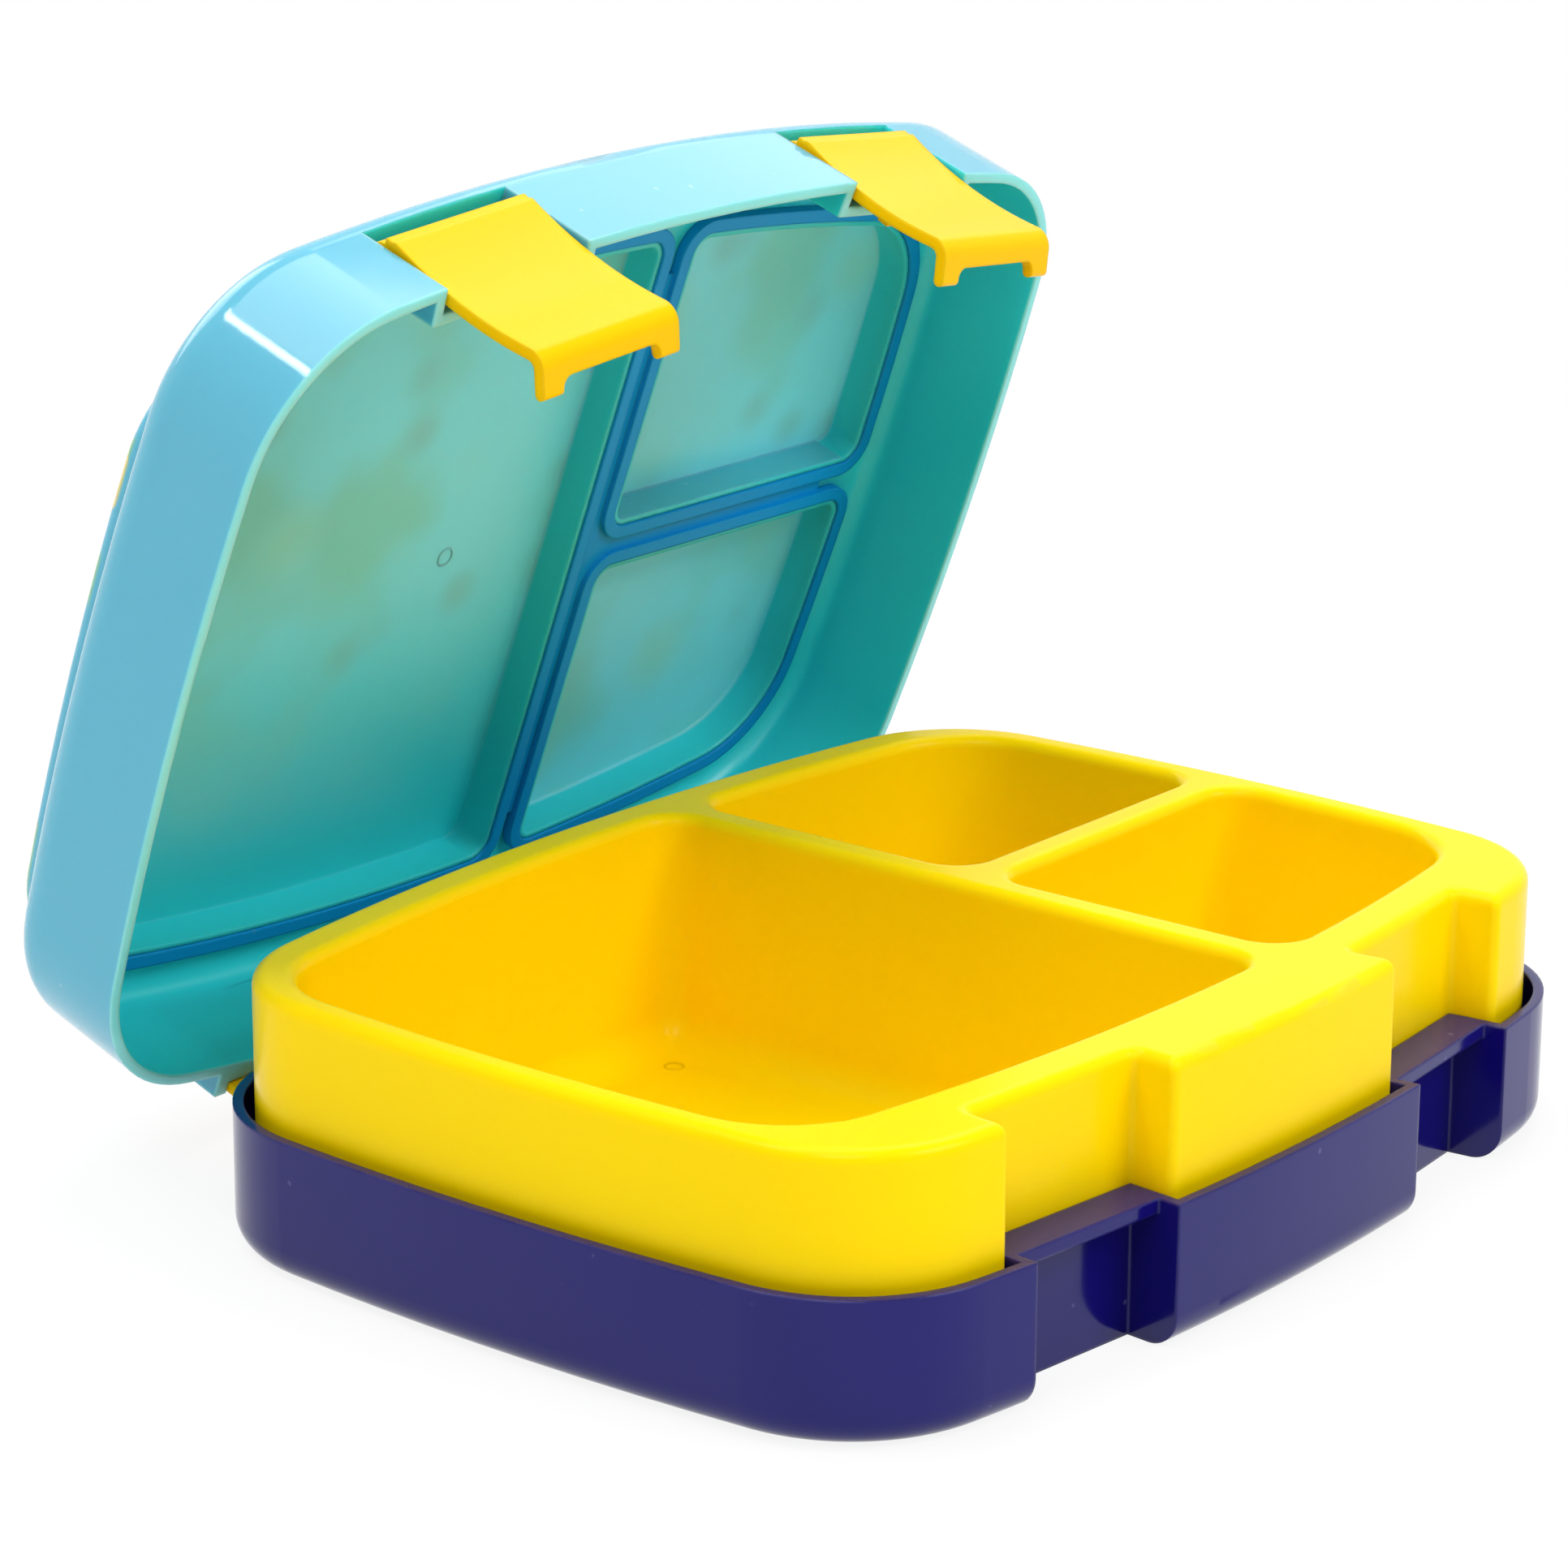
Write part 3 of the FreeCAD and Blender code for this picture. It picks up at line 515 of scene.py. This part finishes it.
# %% Gate ring
RING_RADIUS = 0.0017
RING_BEAD = 0.00022
BEAD_SIDES = 10
RING_STEPS = 48


def ring_form():
    """A bead spun into a ring round the Z axis."""
    form = bmesh.new()
    bead = bmesh.ops.create_circle(form, segments=BEAD_SIDES, radius=RING_BEAD)["verts"]
    bmesh.ops.rotate(form, verts=bead, cent=(0, 0, 0), matrix=Matrix.Rotation(math.pi / 2, 3, "X"))
    bmesh.ops.translate(form, verts=bead, vec=(RING_RADIUS, 0, 0))
    bmesh.ops.spin(form, geom=form.verts[:] + form.edges[:], cent=(0, 0, 0), axis=(0, 0, 1),
                   angle=2 * math.pi, steps=RING_STEPS, use_merge=True)
    bmesh.ops.recalc_face_normals(form, faces=form.faces[:])
    return form


def new_piece(name, form, finish):
    mesh = bpy.data.meshes.new(name)
    form.to_mesh(mesh)
    form.free()
    mesh.materials.append(finish)
    piece = bpy.data.objects.new(name, mesh)
    bpy.context.scene.collection.objects.link(piece)
    return piece


def gate_ring(name, node_name, body, above, towards):
    """A raised ring on the face that a ray from above meets."""
    met, spot, face_normal, _ = nodes[node_name].ray_cast(above, towards)
    if not met:
        raise RuntimeError("no face under " + name)
    form = ring_form()
    stand = face_normal.to_track_quat("Z", "Y").to_matrix().to_4x4()
    bmesh.ops.transform(form, verts=form.verts[:], matrix=Matrix.Translation(spot) @ stand)
    for face in form.faces:
        face.smooth = True
    ring = new_piece(name, form, FINISHES[node_name])
    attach(ring, body)
    print(name, "at", [round(value * 1000, 1) for value in spot], "mm,", len(ring.data.polygons), "faces")


# %% Rings on the tray's floor and in the lid's window
TRAY_RING = Vector((0.0060, 0.0565, 0.040))
LID_RING = Vector((-0.0096, 0.0025, 0.040))
DOWN = Vector((0, 0, -1))
UP = Vector((0, 0, 1))
gate_ring("tray_gate_ring", "food_tray", "tray", TRAY_RING, DOWN)
gate_ring("lid_gate_ring", "lid_shell", "lid",
          HINGE + TO_OPEN @ (LID_RING - HINGE), TO_OPEN @ UP)

# %% [markdown]
# ## Paper floor
# The box stands on white paper. To the camera and to reflections most of the paper glows white, and all
# of it far from the object, so that no grey horizon shows; the share that is left keeps the shadow.

# %% Paper floor
PAPER_DARK = (0.90, 0.90, 0.90, 1)
PAPER_LIGHT = (0.93, 0.93, 0.93, 1)
GLOW_NEAR = 0.88
GLOW_FAR_EXTRA = 0.12
GLOW_REACH = (0.25, 0.70)
FLOOR_HALF = 3.0


def seen_directly(tree):
    """1 for rays from the camera and for those that a mirror or glass sends on, and 0 for lighting."""
    path = node(tree, "LightPath")
    either = maths(tree, "MAXIMUM", path.outputs["Is Camera Ray"], path.outputs["Is Glossy Ray"])
    return maths(tree, "MAXIMUM", either, path.outputs["Is Transmission Ray"])


def paper_finish():
    finish, tree, skin, out = new_finish("white paper")
    preset(skin, {"Roughness": 0.9})
    place = node(tree, "TexCoord")
    fibre = preset(node(tree, "TexNoise"), {"Scale": 400.0})
    tree.links.new(place.outputs["Object"], fibre.inputs["Vector"])
    shade = mix(tree, fibre.outputs["Fac"], PAPER_DARK, PAPER_LIGHT)
    tree.links.new(shade, skin.inputs["Base Color"])
    glow = preset(node(tree, "Emission"), {"Strength": 1.0})
    reach = node(tree, "VectorMath", operation="LENGTH")
    tree.links.new(place.outputs["Object"], reach.inputs[0])
    far_off = ease(tree, reach.outputs["Value"], *GLOW_REACH)
    white_share = maths(tree, "ADD", both(tree, far_off, GLOW_FAR_EXTRA), GLOW_NEAR)
    blend = node(tree, "MixShader")
    tree.links.new(both(tree, seen_directly(tree), white_share), blend.inputs["Fac"])
    tree.links.new(skin.outputs["BSDF"], blend.inputs[1])
    tree.links.new(glow.outputs["Emission"], blend.inputs[2])
    tree.links.new(blend.outputs["Shader"], out.inputs["Surface"])
    return finish


def paper_floor():
    form = bmesh.new()
    bmesh.ops.create_grid(form, x_segments=1, y_segments=1, size=FLOOR_HALF)
    floor = new_piece("paper_floor", form, paper_finish())
    return floor


print("floor:", paper_floor().name)

# %% [markdown]
# ## White surroundings
# The world is white to the camera and to reflections, and a soft grey as a lamp, so that the background
# looks white without flooding the object with light.

# %% White world
WORLD_LIGHT = 0.22


def white_world(strength):
    world = bpy.data.worlds.new("white room")
    bpy.context.scene.world = world
    world.use_nodes = True
    tree = world.node_tree
    tree.nodes.clear()
    out = node(tree, "OutputWorld")
    sky = preset(node(tree, "Background"), {"Color": (1, 1, 1, 1)})
    power = maths(tree, "ADD", both(tree, seen_directly(tree), 1.0 - strength), strength)
    tree.links.new(power, sky.inputs["Strength"])
    tree.links.new(sky.outputs["Background"], out.inputs["Surface"])
    return world


print("world:", white_world(WORLD_LIGHT).name)
bpy.context.scene.view_settings.view_transform = "Standard"

# %% [markdown]
# ## Lamps
# Soft lamps from the front, the left and above light the box evenly, and weaker ones on the far side and
# behind keep the other views from going dark. A narrow strip draws the crisp highlight on the lid's
# corner, because a highlight has the shape of the lamp that makes it.

# %% Studio lamps
LAMPS = (
    # name, place, aim, size, power
    ("front lamp", (0.35, -1.35, 1.25), (0, 0, 0.05), (0.9, 0.7), 15.5),
    ("left lamp", (-0.95, -0.55, 1.35), (0, 0, 0.05), (0.7, 0.7), 9),
    ("top lamp", (0.335, 0.30, 1.70), (0.335, 0.30, 0), (2.23, 0.8), 20),
    ("far lamp", (1.10, 0.54, 1.00), (0, 0.06, 0.12), (0.8, 0.6), 2.2),
    ("corner strip", (-0.60, 0.42, 1.16), (-0.075, 0.06, 0.14), (0.5, 0.08), 3),
    ("back lamp", (0.2, 1.4, 0.9), (0, 0.1, 0.09), (1.0, 0.8), 7),
)


def soft_lamp(name, place, aim, size, power):
    data = bpy.data.lights.new(name, "AREA")
    data.shape = "RECTANGLE"
    data.size, data.size_y = size
    data.energy = power
    lamp = bpy.data.objects.new(name, data)
    lamp.location = place
    direction = Vector(aim) - Vector(place)
    lamp.rotation_euler = direction.to_track_quat("-Z", "Y").to_euler()
    bpy.context.scene.collection.objects.link(lamp)


for lamp_values in LAMPS:
    soft_lamp(*lamp_values)
print("lamps:", [item.name for item in bpy.data.lights])

# %% [markdown]
# ## Camera
# The camera stands low at the left front corner with a long lens, as the product photograph was taken.

# %% Camera
CAMERA_PLACE = Vector((-0.63688, -0.48143, 0.31031))
CAMERA_RIGHT = Vector((0.62540, -0.78028, 0.00554))
CAMERA_UP = Vector((0.22307, 0.18558, 0.95698))
camera_data = bpy.data.cameras.new("product camera")
camera_data.sensor_width = 36.0
camera_data.lens = 115.86
camera = bpy.data.objects.new("product camera", camera_data)
back = CAMERA_RIGHT.cross(CAMERA_UP).normalized()
axes = Matrix((CAMERA_RIGHT, CAMERA_UP, back)).transposed()
camera.matrix_world = Matrix.Translation(CAMERA_PLACE) @ axes.to_4x4()
bpy.context.scene.collection.objects.link(camera)
bpy.context.scene.camera = camera
print("camera at", tuple(round(v, 3) for v in camera.location))
